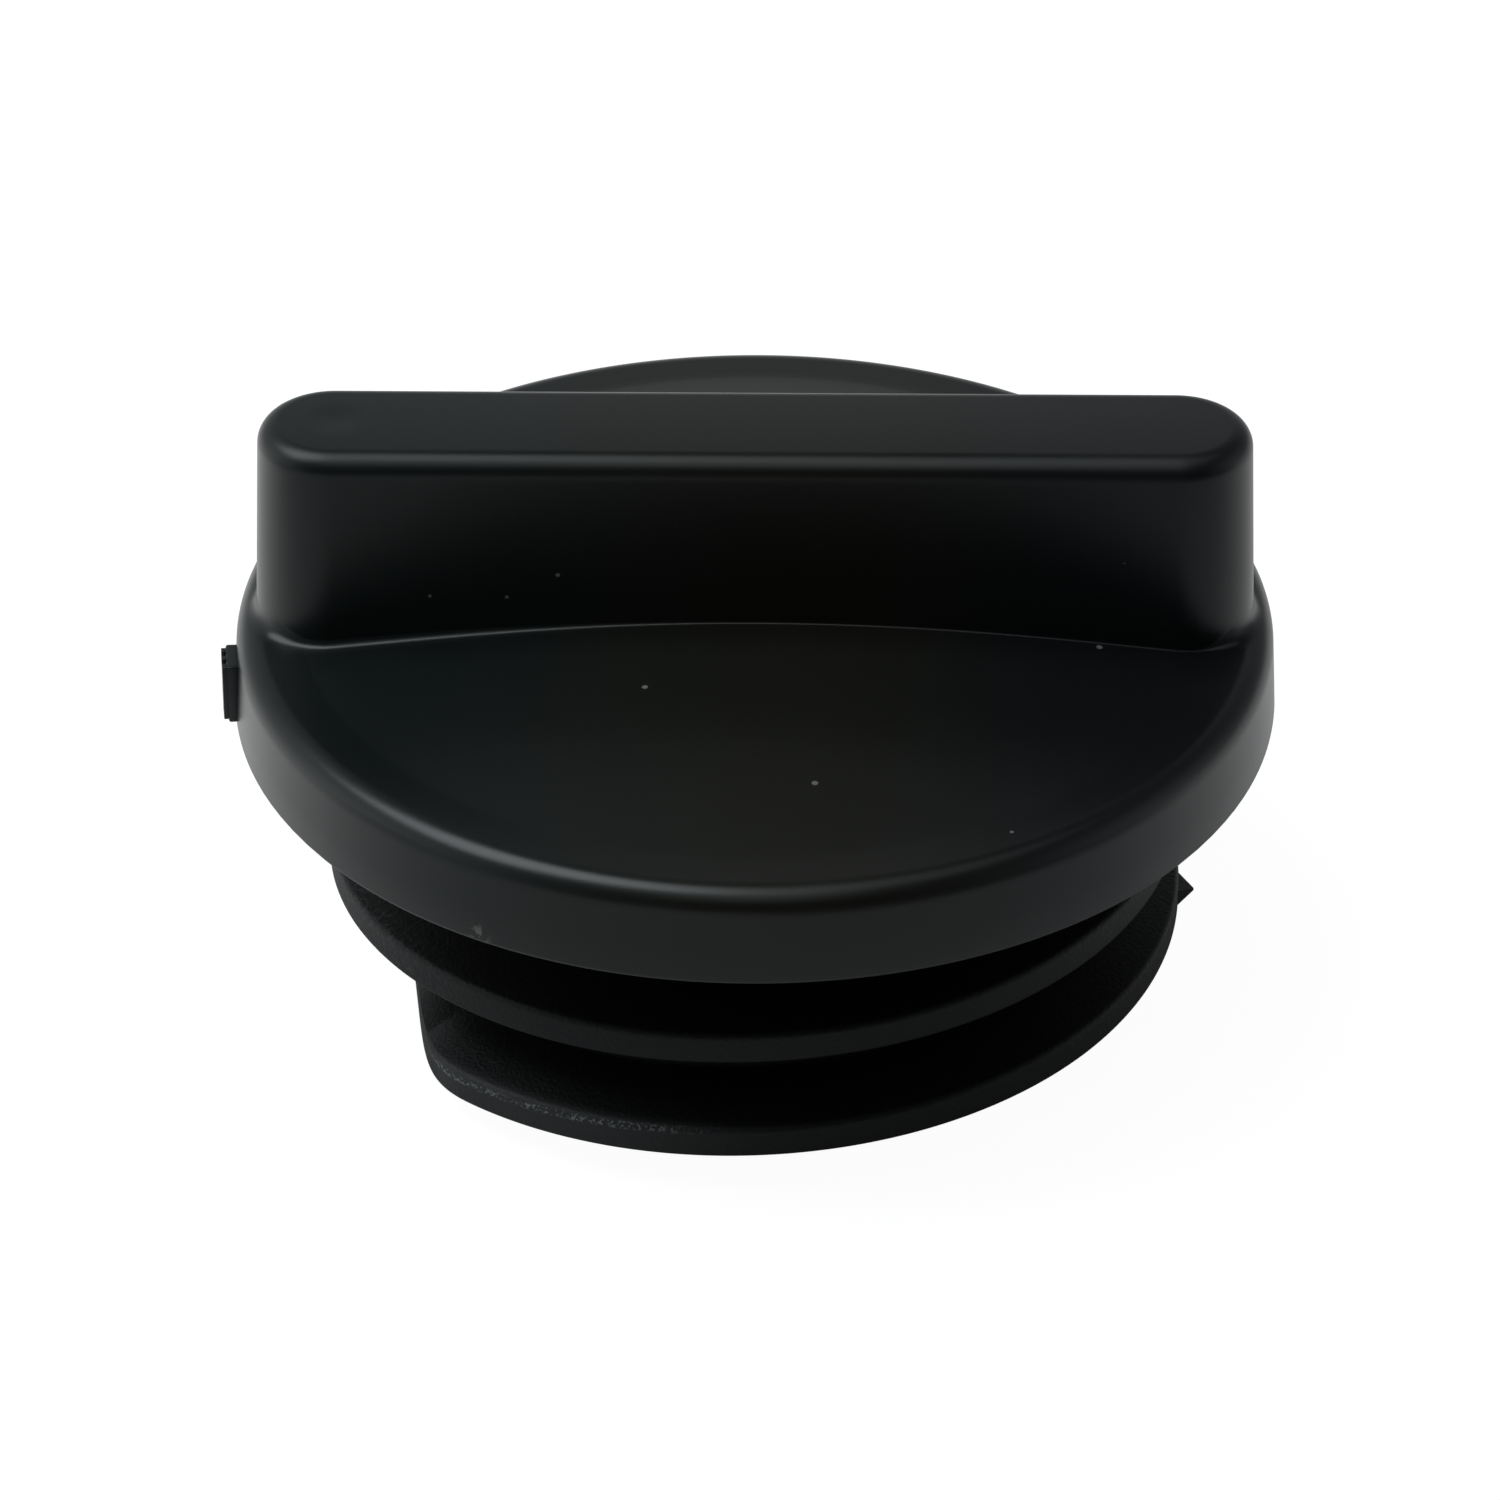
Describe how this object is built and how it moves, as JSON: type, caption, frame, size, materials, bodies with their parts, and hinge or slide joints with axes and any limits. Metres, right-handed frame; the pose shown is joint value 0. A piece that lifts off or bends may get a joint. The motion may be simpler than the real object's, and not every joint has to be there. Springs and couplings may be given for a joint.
{
  "type": "oil filler cap",
  "caption": "Round screw-in filler cap with a straight full-width grip bar on a shallow dome, a short skirt, a coarse single-start thread below and a flat sealing ring.",
  "frame": {"origin": "on the cap's axis, in the plane of the sealing ring's underside, where it meets the filler neck's rim", "axes": "+Z along the cap's axis, out of the engine; the grip bar runs along X"},
  "size_m": [0.0707, 0.07, 0.042],
  "materials": {
    "satin_plastic": "smooth satin black",
    "grained_plastic": "finely grained black, worn lighter along the thread's crest",
    "seal_rubber": "matt black"
  },
  "bodies": {
    "root": {"grip_cover": "satin_plastic", "threaded_plug": "grained_plastic", "seal_ring": "seal_rubber"}
  },
  "joints": []
}
